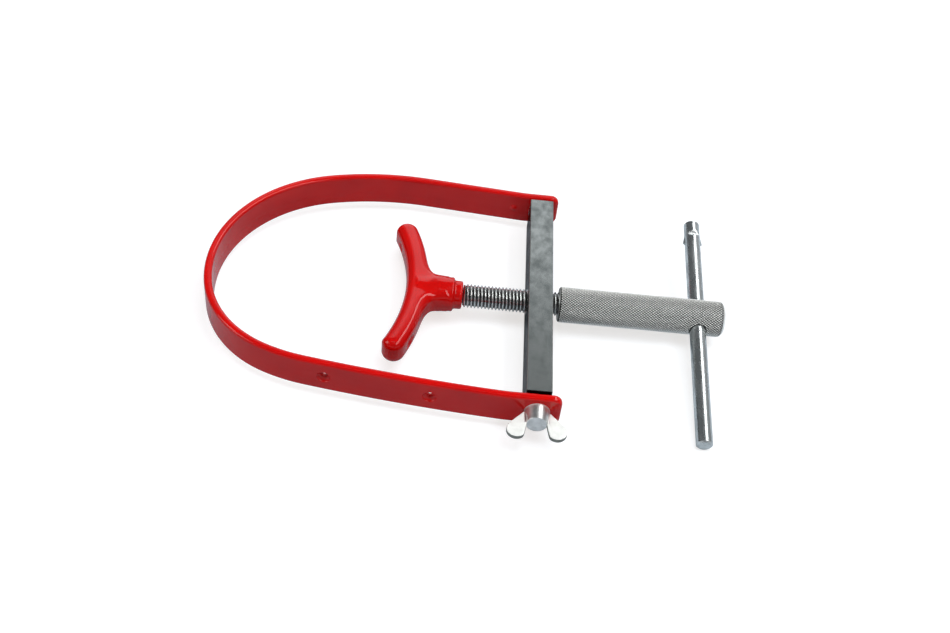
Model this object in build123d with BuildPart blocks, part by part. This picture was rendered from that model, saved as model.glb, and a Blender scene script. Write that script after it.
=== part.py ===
from build123d import *
from math import cos, degrees, hypot, radians, sin, tan
import os

# Flywheel holder: a coated steel strap bent to a U and screwed to both ends of a crossbar, with a
# spindle through the crossbar that presses a coated claw against the flywheel held in the U.
# Sizes are in millimetres. +X runs along the spindle to its handle, +Y along the crossbar and +Z up.
# The origin is the middle of the crossbar's underside. Threads are plain rounds at their fit.

# Crossbar: flat steel bar, tapped through its middle and in both ends
bar_length = 133.0
bar_thick = 12.0
bar_height = 20.0
bar_edge = 0.35
tap_mouth = 0.8

# Threads: the spindle in the crossbar, and the two strap screws in its ends
spindle_dia = 12.0
screw_dia = 6.0
thread_gap = 0.05
screw_grip = 14.0
tap_spare = 2.5

# Strap: spring steel band under a dipped plastic coat
band_width = 16.2
band_thick = 2.4
near_tab_end = 10.3
far_tab_end = 8.5
band_corner = 3.4
coat = 0.8
coat_round = 1.2

# Bends of the band from the near tab round to the far tab: radius, and turn in degrees
tab_bend_radius = 60.0
near_tab_turn = 3.5
near_arm_radius = 983.0
near_arm_turn = 5.5
near_entry_radius = 83.0
near_entry_turn = 14.0
near_corner_radius = 55.8
near_corner_turn = 54.7
haunch_radius = 140.8
haunch_turn = 20.5
far_lean = 4.7

# Holes of the strap: the screw holes, the spare ones along the near arm, and the small holes
# that the strap hung by in the dip, which the coat has closed with a bead
screw_clearance = 0.2
hole_lining = 0.5
hole_pitch = 49.8
spare_holes = 2
hang_dia = 4.0
bead_dia = 5.0
bead_rise = 0.6
swing_clear = 0.2

# Pivot at the far end: washer and button head screw
washer_dia = 12.4
washer_thick = 2.5
head_dia = 10.5
head_height = 3.3
head_flat_dia = 4.6
socket_flats = 4.0
socket_depth = 2.1

# Wing screw at the near end
hub_base_dia = 12.2
hub_end_dia = 9.8
hub_height = 7.6
hub_round = 0.5
wing_span = 27.8
wing_rise = 16.1
wing_tip_radius = 4.6
wing_thick = 2.4
wing_round = 0.9

# Claw: curved shoe with a boss and a collar, coated all over, swivelling on the spindle's nose.
# The shoe's length is measured along the middle of its arc.
claw_gap = 32.2
claw_turn = -2.0
collar_dia = 14.0
collar_length = 4.4
boss_dia = 17.2
boss_length = 13.1
shoe_thick = 10.8
shoe_height = 13.6
shoe_length = 92.4
shoe_round = 3.4
saddle_radius = 99.6
boss_round = 1.0
boss_foot_dia = 10.0
boss_slope_length = 7.4
root_length = 3.0
root_width = 13.8
root_round = 10.5
oval_offset = 34.0
oval_length = 9.0
oval_width = 5.0
oval_dip = 0.9

# Swivel inside the claw: nose, thrust ball and two cross pins in a groove
nose_dia = 8.0
run_gap = 0.05
shoulder_gap = 0.3
lip_clearance = 0.3
ball_dia = 7.94
drill_point = 118.0
pin_dia = 3.0
pin_length = 10.2
pin_inset = 5.7
groove_depth = 1.3
groove_play = 0.1
nose_length = 14.2

# Handle and tommy bar
handle_dia = 18.0
handle_length = 82.6
handle_gap = 3.9
handle_socket = 30.0
front_chamfer = 0.8
back_chamfer = 1.8
tommy_dia = 8.0
tommy_clearance = 0.5
tommy_inset = 12.8
tommy_turn = 7.64
tommy_near = 74.4
tommy_far = 60.8
tommy_chamfer = 0.7
stake_from_end = 13.4
ear_length = 6.6
ear_rise = 1.1
ear_sink = 0.5
ear_width = 2.4
nick_from_stake = 3.4
nick_length = 5.5
nick_depth = 1.2

# Places that follow from the sizes
axis_z = bar_height / 2
bar_end_y = bar_length / 2
bar_face_x = bar_thick / 2
coated_thick = band_thick + 2 * coat
near_band_y = -(bar_end_y + coated_thick / 2)
far_seat_y = bar_end_y + washer_thick
far_band_y = far_seat_y + coated_thick / 2
near_seat_y = -(bar_end_y + coated_thick)
far_head_y = far_seat_y + coated_thick
screw_radius = screw_dia / 2
spindle_radius = spindle_dia / 2
tap_depth = screw_grip + tap_spare
collar_x = -bar_face_x - claw_gap
boss_x = collar_x - collar_length
shoe_back_x = boss_x - boss_length
saddle_x = shoe_back_x - shoe_thick
handle_front_x = bar_face_x + handle_gap
handle_back_x = handle_front_x + handle_length
tommy_x = handle_back_x - tommy_inset
spindle_end_x = handle_front_x + handle_socket
shoulder_x = collar_x + shoulder_gap
nose_tip_x = shoulder_x - nose_length
ball_x = nose_tip_x - run_gap - ball_dia / 2
pin_x = boss_x - pin_inset
groove_radius = nose_dia / 2 - groove_depth
pin_offset = groove_radius + run_gap + pin_dia / 2

spindle_plane = Plane(origin=(0, 0, axis_z), x_dir=(0, 1, 0), z_dir=(1, 0, 0))
level = Plane.XY.offset(axis_z)


def turned(radius, start, end, mode=Mode.ADD):
    """Adds or cuts a round about the spindle axis, between two places along X."""
    with Locations(spindle_plane.offset(start)):
        Cylinder(radius, end - start, align=(Align.CENTER, Align.CENTER, Align.MIN), mode=mode)


def bored(radius, x, start, end, mode=Mode.SUBTRACT):
    """Cuts or adds a round parallel to the crossbar, between two places along Y."""
    with Locations(Plane(origin=(x, start, axis_z), x_dir=(1, 0, 0), z_dir=(0, 1, 0))):
        Cylinder(radius, end - start, align=(Align.CENTER, Align.CENTER, Align.MIN), mode=mode)


# Crossbar
with BuildPart() as crossbar:
    with Locations((0, 0, axis_z)):
        Box(bar_thick, bar_length, bar_height)
    chamfer(crossbar.edges(), bar_edge)
    turned(spindle_radius + thread_gap, -bar_face_x, bar_face_x, Mode.SUBTRACT)
    mouths = crossbar.edges().filter_by(GeomType.CIRCLE)
    chamfer(mouths, tap_mouth)
    bored(screw_radius + thread_gap, 0, -bar_end_y, tap_depth - bar_end_y)
    bored(screw_radius + thread_gap, 0, bar_end_y - tap_depth, bar_end_y)
crossbar.part.label = "crossbar"


# Strap. The near tab is flat, without a bead, for as far as a corner of the crossbar can swing
# past it, and the far tab for as far as the washer reaches.
corner_reach = hypot(bar_thick, bar_height) / 2
near_flat = corner_reach + bar_edge
far_flat = washer_dia / 2 + swing_clear
hang_offset = corner_reach + swing_clear + bead_dia / 2
bends = [
    (tab_bend_radius, near_tab_turn),
    (near_arm_radius, near_arm_turn),
    (near_entry_radius, near_entry_turn),
    (near_corner_radius, near_corner_turn),
]
shoulder_turn = 180 + far_lean - haunch_turn - sum(bend_turn for bend_radius, bend_turn in bends)


def arc_reach(heading, turn):
    """How far an arc of radius 1 goes in X and Y, turning right from a heading in degrees."""
    before = radians(heading)
    after = radians(heading - turn)
    return sin(before) - sin(after), cos(after) - cos(before)


# The shoulder's radius and the far arm's length are the ones that bring the band to the far tab
heading = 180.0
reach_x = 0.0
reach_y = 0.0
for bend_radius, bend_turn in bends:
    step_x, step_y = arc_reach(heading, bend_turn)
    reach_x += bend_radius * step_x
    reach_y += bend_radius * step_y
    heading -= bend_turn
shoulder_step_x, shoulder_step_y = arc_reach(heading, shoulder_turn)
step_x, step_y = arc_reach(heading - shoulder_turn, haunch_turn)
reach_x += haunch_radius * step_x
reach_y += haunch_radius * step_y
step_x, step_y = arc_reach(-far_lean, -far_lean)
reach_x -= tab_bend_radius * step_x
reach_y -= tab_bend_radius * step_y
rest_x = near_flat - far_flat - reach_x
rest_y = far_band_y - near_band_y - reach_y
slope_x = cos(radians(far_lean))
slope_y = -sin(radians(far_lean))
span = shoulder_step_x * slope_y - shoulder_step_y * slope_x
shoulder_radius = (rest_x * slope_y - rest_y * slope_x) / span
far_arm_length = (shoulder_step_x * rest_y - shoulder_step_y * rest_x) / span

with BuildLine(level) as band_route:
    near_tab = Line((near_tab_end, near_band_y), (-near_flat, near_band_y))
    route = near_tab
    for bend_radius, bend_turn in bends:
        route = JernArc(route @ 1, route % 1, bend_radius, -bend_turn)
    shoulder = JernArc(route @ 1, route % 1, shoulder_radius, -shoulder_turn)
    haunch = JernArc(shoulder @ 1, shoulder % 1, haunch_radius, -haunch_turn)
    far_arm = PolarLine(haunch @ 1, far_arm_length, -far_lean)
    far_bend = JernArc(far_arm @ 1, far_arm % 1, tab_bend_radius, far_lean)
    far_tab = Line(far_bend @ 1, (far_tab_end, far_band_y))
band_wire = band_route.wires()[0]


def band_blank(grow):
    """The bent band: bare steel where grow is 0, the outline of its coat where grow is the coat."""
    with BuildPart() as blank:
        with BuildSketch(level) as ribbon:
            with BuildLine(level):
                add(band_route.line)
                if grow:
                    Line(near_tab @ 0, (near_tab_end + grow, near_band_y))
                    Line(far_tab @ 1, (far_tab_end + grow, far_band_y))
            trace(line_width=band_thick + 2 * grow)
        extrude(amount=band_width / 2 + grow, both=True)
        fillet(blank.edges().filter_by(Axis.Y), band_corner + grow)
    return blank.part


def band_spot(along):
    """A plane on the band's middle surface, a distance along it from the near screw, facing inwards."""
    place = band_wire.position_at(near_tab_end + along, position_mode=PositionMode.LENGTH)
    run = band_wire.tangent_at(near_tab_end + along, position_mode=PositionMode.LENGTH)
    return Plane(origin=place, x_dir=run, z_dir=(run.Y, -run.X, 0))


far_screw_along = band_wire.length - near_tab_end - far_tab_end
spare_spots = [band_spot(hole_pitch * (index + 1)) for index in range(spare_holes)]
hang_spots = [band_spot(hang_offset), band_spot(far_screw_along - hang_offset)]
lined_radius = screw_radius + screw_clearance


def screw_holes(radius):
    """Cuts both screw holes of the strap and the spare ones."""
    bored(radius, 0, near_seat_y, -bar_end_y)
    bored(radius, 0, far_seat_y, far_head_y)
    with Locations(*spare_spots):
        Cylinder(radius, 2 * coated_thick, mode=Mode.SUBTRACT)


with BuildPart() as strap_core:
    add(band_blank(0))
    screw_holes(lined_radius + hole_lining)
    with Locations(*hang_spots):
        Cylinder(hang_dia / 2, 2 * coated_thick, mode=Mode.SUBTRACT)
strap_core.part.label = "strap_core"

with BuildPart() as strap_coating:
    add(band_blank(coat))
    seams = strap_coating.edges().filter_by(Axis.Z).filter_by(lambda e: e.center().X < bar_face_x)
    rims = strap_coating.edges() - strap_coating.edges().filter_by(Axis.Y) - seams
    fillet(rims, coat_round)
    with Locations(*hang_spots):
        Cylinder(bead_dia / 2, coated_thick / 2 + bead_rise, align=(Align.CENTER, Align.CENTER, Align.MIN))
    add(strap_core.part, mode=Mode.SUBTRACT)
    screw_holes(lined_radius)
strap_coating.part.label = "strap_coating"


# Washer and button head screw that the far end of the strap pivots on
with BuildPart() as pivot_washer:
    bored(washer_dia / 2, 0, bar_end_y, far_seat_y, Mode.ADD)
    bored(lined_radius, 0, bar_end_y, far_seat_y)
pivot_washer.part.label = "pivot_washer"

with BuildPart() as pivot_screw:
    with BuildSketch(Plane(origin=(0, far_head_y, axis_z), x_dir=(1, 0, 0), z_dir=(0, 0, 1))):
        with BuildLine():
            Line((0, 0), (head_dia / 2, 0))
            ThreePointArc(
                (head_dia / 2, 0),
                (head_dia / 2 - (head_dia - head_flat_dia) * 0.11, head_height * 0.6),
                (head_flat_dia / 2, head_height),
            )
            Line((head_flat_dia / 2, head_height), (0, head_height))
            Line((0, head_height), (0, 0))
        make_face()
    revolve(axis=Axis((0, 0, axis_z), (0, 1, 0)))
    bored(screw_radius, 0, bar_end_y - screw_grip, far_head_y, Mode.ADD)
    with BuildSketch(Plane(origin=(0, far_head_y + head_height, axis_z), z_dir=(0, -1, 0))):
        RegularPolygon(socket_flats / 2, 6, major_radius=False)
    extrude(amount=socket_depth, mode=Mode.SUBTRACT)
pivot_screw.part.label = "pivot_screw"


# Wing screw: tapered hub with two rounded wings and its threaded shank
with BuildPart() as wing_screw:
    with Locations(Plane(origin=(0, near_seat_y, axis_z), z_dir=(0, -1, 0))):
        Cone(
            hub_base_dia / 2,
            hub_end_dia / 2,
            hub_height,
            align=(Align.CENTER, Align.CENTER, Align.MIN),
        )
    fillet(wing_screw.edges().group_by(Axis.Y)[0], hub_round)
    wing_tip_y = near_seat_y - wing_rise + wing_tip_radius
    root_start = (hub_base_dia / 2 - hub_round, near_seat_y - hub_round)
    root_end = (hub_end_dia / 2 - hub_round, near_seat_y - hub_height + hub_round)
    with BuildPart(mode=Mode.PRIVATE) as wing:
        with BuildSketch(level):
            with Locations((wing_span / 2 - wing_tip_radius, wing_tip_y)):
                Circle(wing_tip_radius)
            with BuildLine():
                Line(root_start, root_end)
            make_hull()
            Polygon((0, root_start[1]), root_start, root_end, (0, root_end[1]), align=None)
        extrude(amount=wing_thick / 2, both=True)
        fillet(wing.faces().filter_by(Axis.Z).edges(), wing_round)
    add(wing.part)
    add(mirror(wing.part, Plane.YZ))
    bored(screw_radius, 0, near_seat_y, screw_grip - bar_end_y, Mode.ADD)
wing_screw.part.label = "wing_screw"


# Claw: its plan is a round-ended arc with a root that runs out into the boss
shoe_mid_radius = saddle_radius + shoe_thick / 2
shoe_centre_x = saddle_x - saddle_radius
bore_radius = nose_dia / 2 + run_gap
cone_run = (ball_dia / 2 + run_gap) / sin(radians(drill_point / 2))
bore_tip_x = ball_x - cone_run
cone_start_x = bore_tip_x + bore_radius / tan(radians(drill_point / 2))
oval_turn = degrees(oval_offset / shoe_mid_radius)
shoe_turn = degrees((shoe_length - shoe_thick) / shoe_mid_radius)
shoe_arc = CenterArc((shoe_centre_x, 0), shoe_mid_radius, -shoe_turn / 2, shoe_turn)
boss_slope_x = boss_x - boss_slope_length
claw_axis = Axis((0, 0, axis_z), (1, 0, 0))


def arm_planes(radius):
    """Planes across both arms of the shoe at the ovals, a radius from the saddle's centre."""
    planes = []
    for turn in (-oval_turn, oval_turn):
        out = Vector(cos(radians(turn)), sin(radians(turn)), 0)
        place = Vector(shoe_centre_x, 0, axis_z) + out * radius
        planes.append(Plane(origin=place, x_dir=(-out.Y, out.X, 0), z_dir=out))
    return planes


def claw_blank(inset):
    """The claw without its bore: its coated outline where inset is 0, its bare steel at the coat."""
    half_height = shoe_height / 2 - inset
    root_x = boss_x - root_length
    with BuildPart() as blank:
        with BuildSketch(level) as plan:
            SlotArc(shoe_arc, shoe_thick - 2 * inset)
            with Locations((shoe_back_x - shoe_thick / 2, 0)):
                Rectangle(
                    root_x - shoe_back_x + shoe_thick / 2,
                    root_width - 2 * inset,
                    align=(Align.MIN, Align.CENTER),
                )
            roots = plan.vertices().group_by(Axis.X)[-2]
            fillet(roots, root_round + inset)
        extrude(amount=half_height, both=True)
        rims = blank.edges().filter_by(Plane.XY).sort_by(Axis.X)[:-2]
        fillet(rims, shoe_round - inset)
        turned(boss_dia / 2 - inset, boss_slope_x, boss_x - inset)
        with Locations(spindle_plane.offset(shoe_back_x - shoe_thick / 2)):
            Cone(
                boss_foot_dia / 2 - inset,
                boss_dia / 2 - inset,
                boss_slope_x - shoe_back_x + shoe_thick / 2,
                align=(Align.CENTER, Align.CENTER, Align.MIN),
            )
        boss_rim = blank.edges().filter_by(GeomType.CIRCLE).group_by(Axis.X)[-1]
        fillet(boss_rim, boss_round)
        turned(collar_dia / 2 - inset, boss_x - inset - boss_round, collar_x - inset)
        collar_rim = blank.edges().filter_by(GeomType.CIRCLE).group_by(Axis.X)[-1]
        fillet(collar_rim, boss_round)
    return blank.part


# Two pins across the claw's boss, in the groove of the spindle's nose
with BuildPart() as swivel_pins:
    with Locations((pin_x, -pin_offset, axis_z), (pin_x, pin_offset, axis_z)):
        Cylinder(pin_dia / 2, pin_length)
swivel_pins.part.label = "swivel_pins"

with BuildPart() as claw_core:
    add(claw_blank(coat))
    turned(bore_radius, cone_start_x, collar_x, Mode.SUBTRACT)
    with Locations(spindle_plane.offset(bore_tip_x)):
        Cone(
            0,
            bore_radius,
            cone_start_x - bore_tip_x,
            align=(Align.CENTER, Align.CENTER, Align.MIN),
            mode=Mode.SUBTRACT,
        )
    with Locations((pin_x, -pin_offset, axis_z), (pin_x, pin_offset, axis_z)):
        Cylinder(pin_dia / 2, boss_dia, mode=Mode.SUBTRACT)
    for plane in arm_planes(shoe_mid_radius):
        with BuildSketch(plane):
            SlotOverall(oval_length + 2 * coat, oval_width + 2 * coat)
        extrude(amount=shoe_thick, both=True, mode=Mode.SUBTRACT)
claw_core.part.label = "claw_core"

with BuildPart() as claw_coating:
    add(claw_blank(0))
    add(claw_core.part, mode=Mode.SUBTRACT)
    add(swivel_pins.part, mode=Mode.SUBTRACT)
    turned(bore_radius, cone_start_x, collar_x - coat, Mode.SUBTRACT)
    turned(nose_dia / 2 + lip_clearance, collar_x - coat, collar_x, Mode.SUBTRACT)
    with Locations(spindle_plane.offset(bore_tip_x)):
        Cone(
            0,
            bore_radius,
            cone_start_x - bore_tip_x,
            align=(Align.CENTER, Align.CENTER, Align.MIN),
            mode=Mode.SUBTRACT,
        )
    for plane in arm_planes(saddle_radius + shoe_thick - oval_dip):
        with BuildSketch(plane):
            SlotOverall(oval_length, oval_width)
        extrude(amount=shoe_thick / 2, mode=Mode.SUBTRACT)
    for plane in arm_planes(saddle_radius + oval_dip):
        with BuildSketch(plane):
            SlotOverall(oval_length, oval_width)
        extrude(amount=-shoe_thick / 2, mode=Mode.SUBTRACT)
claw_coating.part.label = "claw_coating"

with BuildPart() as thrust_ball:
    with Locations((ball_x, 0, axis_z)):
        Sphere(ball_dia / 2)
thrust_ball.part.label = "thrust_ball"


# Spindle: threaded rod with a turned nose, whose groove takes the swivel pins
with BuildPart() as spindle:
    turned(spindle_radius, shoulder_x, spindle_end_x)
    turned(nose_dia / 2, nose_tip_x, shoulder_x)
    groove_half = pin_dia / 2 + groove_play
    turned(nose_dia / 2, pin_x - groove_half, pin_x + groove_half, Mode.SUBTRACT)
    turned(groove_radius, pin_x - groove_half, pin_x + groove_half)
spindle.part.label = "spindle"


# Handle: knurled grip fixed on the spindle, and the staked bar that slides through it
tommy_along = Vector(0, cos(radians(tommy_turn)), sin(radians(tommy_turn)))
tommy_up = Vector(0, -tommy_along.Z, tommy_along.Y)
tommy_middle = Vector(tommy_x, 0, axis_z)
tommy_plane = Plane(origin=tommy_middle, x_dir=(-1, 0, 0), z_dir=tommy_along)
tommy_radius = tommy_dia / 2

with BuildPart() as handle:
    turned(handle_dia / 2, handle_front_x, handle_back_x)
    chamfer(handle.edges().filter_by(GeomType.CIRCLE).group_by(Axis.X)[0], front_chamfer)
    chamfer(handle.edges().filter_by(GeomType.CIRCLE).group_by(Axis.X)[-1], back_chamfer)
    turned(spindle_radius, handle_front_x, spindle_end_x, Mode.SUBTRACT)
    with Locations(tommy_plane):
        Cylinder(tommy_radius + tommy_clearance, 2 * handle_dia, mode=Mode.SUBTRACT)
handle.part.label = "handle"

with BuildPart() as tommy_bar:
    with Locations(tommy_plane.offset(-tommy_near)):
        Cylinder(tommy_radius, tommy_near + tommy_far, align=(Align.CENTER, Align.CENTER, Align.MIN))
    chamfer(tommy_bar.edges().filter_by(GeomType.CIRCLE), tommy_chamfer)
    stake = tommy_far - stake_from_end
    ear_reach = tommy_radius + ear_rise
    with BuildSketch(Plane(origin=tommy_middle, x_dir=tommy_along, z_dir=tommy_up)):
        Polygon(
            (stake, -ear_reach),
            (stake, ear_reach),
            (stake + ear_length, tommy_radius - ear_sink),
            (stake + ear_length, ear_sink - tommy_radius),
            align=None,
        )
    extrude(amount=ear_width / 2, both=True)
    with BuildSketch(Plane(origin=tommy_middle, x_dir=tommy_along, z_dir=(1, 0, 0))):
        Polygon(
            (stake + nick_from_stake, tommy_radius),
            (stake + nick_from_stake + nick_length, tommy_radius),
            (stake + nick_from_stake, tommy_radius - nick_depth),
            align=None,
        )
    extrude(amount=tommy_radius, both=True, mode=Mode.SUBTRACT)
tommy_bar.part.label = "tommy_bar"


os.makedirs("parts", exist_ok=True)
export_step(crossbar.part, "parts/crossbar.step")
export_step(strap_core.part, "parts/strap_core.step")
export_step(strap_coating.part, "parts/strap_coating.step")
export_step(pivot_washer.part, "parts/pivot_washer.step")
export_step(pivot_screw.part, "parts/pivot_screw.step")
export_step(wing_screw.part, "parts/wing_screw.step")
export_step(swivel_pins.part.rotate(claw_axis, claw_turn), "parts/swivel_pins.step")
export_step(claw_core.part.rotate(claw_axis, claw_turn), "parts/claw_core.step")
export_step(claw_coating.part.rotate(claw_axis, claw_turn), "parts/claw_coating.step")
export_step(thrust_ball.part, "parts/thrust_ball.step")
export_step(spindle.part, "parts/spindle.step")
export_step(handle.part, "parts/handle.step")
export_step(tommy_bar.part, "parts/tommy_bar.step")
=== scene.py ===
from functools import partial
from math import cos, hypot, pi, radians, sin

import bmesh
import bpy
from mathutils import Matrix, Vector


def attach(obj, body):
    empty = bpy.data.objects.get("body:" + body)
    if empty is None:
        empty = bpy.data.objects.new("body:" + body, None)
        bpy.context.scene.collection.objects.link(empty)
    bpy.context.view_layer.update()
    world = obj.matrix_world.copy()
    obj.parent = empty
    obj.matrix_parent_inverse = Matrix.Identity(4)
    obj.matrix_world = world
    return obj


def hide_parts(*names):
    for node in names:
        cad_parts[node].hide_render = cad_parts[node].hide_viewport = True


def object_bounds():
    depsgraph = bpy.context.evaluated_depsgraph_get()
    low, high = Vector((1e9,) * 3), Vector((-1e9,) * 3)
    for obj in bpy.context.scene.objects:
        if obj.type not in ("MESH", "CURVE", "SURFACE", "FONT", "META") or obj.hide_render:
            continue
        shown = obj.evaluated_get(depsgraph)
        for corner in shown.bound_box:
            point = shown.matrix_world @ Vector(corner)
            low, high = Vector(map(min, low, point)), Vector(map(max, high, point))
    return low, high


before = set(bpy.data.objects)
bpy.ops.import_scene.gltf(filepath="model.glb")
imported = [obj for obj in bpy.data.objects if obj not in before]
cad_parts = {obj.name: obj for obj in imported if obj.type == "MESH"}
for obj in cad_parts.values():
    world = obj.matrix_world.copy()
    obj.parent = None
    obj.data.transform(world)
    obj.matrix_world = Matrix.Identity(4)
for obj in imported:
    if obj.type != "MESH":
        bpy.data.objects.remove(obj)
cad_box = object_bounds()
MM = 0.001

# Camera, where the photographer stood: two thirds of a metre from the tool, at its wing screw side,
# looking down on it. Place and turn come from the corners of the crossbar, strap and handle.
scene = bpy.context.scene
scene.view_settings.view_transform = "Standard"
camera_place = Vector((-49.6, -432.79, 445.8)) * MM
look_along = Vector((0.030384, 0.692756, -0.720531))
camera_up = Vector((-0.0933, 0.719683, 0.688006))
camera = bpy.data.objects.new("camera", bpy.data.cameras.new("camera"))
camera.data.lens = 46.76
camera.data.sensor_width = 36
camera.data.clip_start = 0.01
camera_right = look_along.cross(camera_up).normalized()
turn = Matrix((camera_right, camera_right.cross(look_along), -look_along)).transposed()
camera.matrix_world = Matrix.Translation(camera_place) @ turn.to_4x4()
scene.collection.objects.link(camera)
scene.camera = camera


# Studio: a white table in a dark room, a wall behind the tool up to about 45 degrees that is lit in its
# middle, a low dim wall behind the camera, a long ceiling light at the right, and soft boxes. The steel
# and the plastic show all of these as reflections.
def sum_up(tree, operation, *values):
    """One maths node: values are numbers or sockets."""
    node = tree.nodes.new("ShaderNodeMath")
    node.operation = operation
    for socket, value in zip(node.inputs, values):
        if isinstance(value, (int, float)):
            socket.default_value = value
        else:
            tree.links.new(value, socket)
    return node.outputs[0]


def mixed(tree, kind, factor, first, second):
    """Goes from the first to the second value, of kind RGBA or FLOAT, each a socket or plain numbers."""
    mix = tree.nodes.new("ShaderNodeMix")
    mix.data_type = kind
    sockets = [socket for socket in mix.inputs if socket.enabled and socket.name in ("A", "B")]
    tree.links.new(factor, mix.inputs["Factor"])
    for socket, value in zip(sockets, (first, second)):
        if isinstance(value, tuple):
            socket.default_value = (*value, 1)
        elif isinstance(value, (int, float)):
            socket.default_value = value
        else:
            tree.links.new(value, socket)
    return next(socket for socket in mix.outputs if socket.enabled)


def banded(tree, value, start, end, curve="LINEAR"):
    """0 at one level of a value and 1 at another, and level beyond them."""
    band = tree.nodes.new("ShaderNodeMapRange")
    band.interpolation_type = curve
    band.inputs["From Min"].default_value = start
    band.inputs["From Max"].default_value = end
    tree.links.new(value, band.inputs["Value"])
    return band.outputs[0]


def lit_floor():
    material = bpy.data.materials.new("white_table")
    material.use_nodes = True
    nodes = material.node_tree.nodes
    links = material.node_tree.links
    nodes.clear()
    output = nodes.new("ShaderNodeOutputMaterial")
    paint = nodes.new("ShaderNodeBsdfDiffuse")
    paint.inputs["Color"].default_value = (0.42, 0.46, 0.5, 1)
    seen = nodes.new("ShaderNodeLightPath")
    surface = paint.outputs[0]
    for ray, colour, strength in (
        ("Is Camera Ray", (1, 0.97, 0.94, 1), 0.68),
        ("Is Glossy Ray", (0.8, 0.9, 1, 1), 0.05),
    ):
        glow = nodes.new("ShaderNodeEmission")
        glow.inputs["Color"].default_value = colour
        gain = sum_up(material.node_tree, "MULTIPLY", seen.outputs[ray], strength)
        links.new(gain, glow.inputs["Strength"])
        both = nodes.new("ShaderNodeAddShader")
        links.new(surface, both.inputs[0])
        links.new(glow.outputs[0], both.inputs[1])
        surface = both.outputs[0]
    links.new(surface, output.inputs["Surface"])
    return material


floor_z = cad_box[0][2]
table_half = 6.0
floor_mesh = bpy.data.meshes.new("table")
floor_mesh.from_pydata(
    [(x * table_half, y * table_half, floor_z) for x, y in ((-1, -1), (1, -1), (1, 1), (-1, 1))],
    [],
    [(0, 1, 2, 3)],
)
floor_mesh.materials.append(lit_floor())
table = bpy.data.objects.new("table", floor_mesh)
scene.collection.objects.link(table)

world = bpy.data.worlds.new("studio")
scene.world = world
world.use_nodes = True
sky = world.node_tree
sky.nodes.clear()
sky_out = sky.nodes.new("ShaderNodeOutputWorld")
room = sky.nodes.new("ShaderNodeBackground")
sight = sky.nodes.new("ShaderNodeLightPath")
direction = sky.nodes.new("ShaderNodeTexCoord")
split = sky.nodes.new("ShaderNodeSeparateXYZ")
sky.links.new(direction.outputs["Generated"], split.inputs[0])
# Bearings count in radians from straight behind the tool, and heights are the sine of the slope up
sky_sum = partial(sum_up, sky)
sky_fade = partial(banded, sky, curve="SMOOTHSTEP")
bearing = sky_sum("ARCTAN2", split.outputs[0], split.outputs[1])
wall_height = sky_fade(split.outputs[2], 0.73, 0.66)
dim_level, front_level = 0.32, 0.35
dim_part = sky_sum("MULTIPLY", sky_fade(bearing, -0.5, -0.2), sky_fade(bearing, 1.2, 0.8))
dim_part = sky_sum("MULTIPLY", sky_sum("MULTIPLY", dim_part, wall_height), dim_level)
lit_part = sky_sum("MULTIPLY", sky_fade(bearing, -0.35, -0.15), sky_fade(bearing, 0.36, 0.2))
back_wall = sky_sum("MAXIMUM", dim_part, sky_sum("MULTIPLY", lit_part, wall_height))
front_wall = sky_sum(
    "MULTIPLY", sky_fade(split.outputs[1], -0.3, -0.6), sky_fade(split.outputs[2], 0.45, 0.3)
)
wall = sky_sum("MAXIMUM", back_wall, sky_sum("MULTIPLY", front_wall, front_level))
room_shade = mixed(sky, "RGBA", wall, (0.11, 0.115, 0.12), (1.22, 1.25, 1.3))
seen_shade = mixed(sky, "RGBA", sight.outputs["Is Camera Ray"], room_shade, (1, 1, 1))
sky.links.new(seen_shade, room.inputs["Color"])
sky.links.new(room.outputs[0], sky_out.inputs["Surface"])


def soft_box(name, place, aim, width, height, watts, mirrored=True):
    lamp = bpy.data.lights.new(name, "AREA")
    lamp.shape = "RECTANGLE"
    lamp.size = width
    lamp.size_y = height
    lamp.energy = watts
    box = bpy.data.objects.new(name, lamp)
    box.location = place
    box.rotation_euler = (Vector(aim) - Vector(place)).to_track_quat("-Z", "Y").to_euler()
    box.visible_glossy = mirrored
    scene.collection.objects.link(box)


tool_middle = (-0.04, 0.0, 0.01)
soft_box("overhead_box", (-0.1, -0.12, 1.3), tool_middle, 0.9, 0.6, 8.5, mirrored=False)
soft_box("left_box", (-1.3, -0.2, 0.8), tool_middle, 0.6, 0.9, 5.0)
soft_box("ceiling_strip", (0.66, 0.15, 1.25), (0.66, 0.15, 0.0), 0.5, 2.4, 17.0)


# Crossbar: flat steel bar, cut to length, drilled and tapped for the spindle and the two strap
# screws. Its skin is mottled grey, with a painted highlight along its corners. Its long sides and its
# ends are painted darker than its top, after the shade in the photograph: the real steel is the same all
# over.
def new_material(name):
    """A material with its node tree, and the shader that its surface uses."""
    material = bpy.data.materials.new(name)
    material.use_nodes = True
    return material, material.node_tree, material.node_tree.nodes["Principled BSDF"]


def spot_parts(tree):
    """The three coordinates of a point of the piece, in metres."""
    spot = tree.nodes.new("ShaderNodeTexCoord")
    parts = tree.nodes.new("ShaderNodeSeparateXYZ")
    tree.links.new(spot.outputs["Object"], parts.inputs[0])
    return parts.outputs


def new_effect(name, inputs, outputs):
    """A shader node group with named sockets, to be placed in several materials."""
    group = bpy.data.node_groups.new(name, "ShaderNodeTree")
    for label, kind in inputs:
        group.interface.new_socket(label, in_out="INPUT", socket_type="NodeSocket" + kind)
    for label, kind in outputs:
        group.interface.new_socket(label, in_out="OUTPUT", socket_type="NodeSocket" + kind)
    return group, group.nodes.new("NodeGroupInput").outputs, group.nodes.new("NodeGroupOutput").inputs


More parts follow.
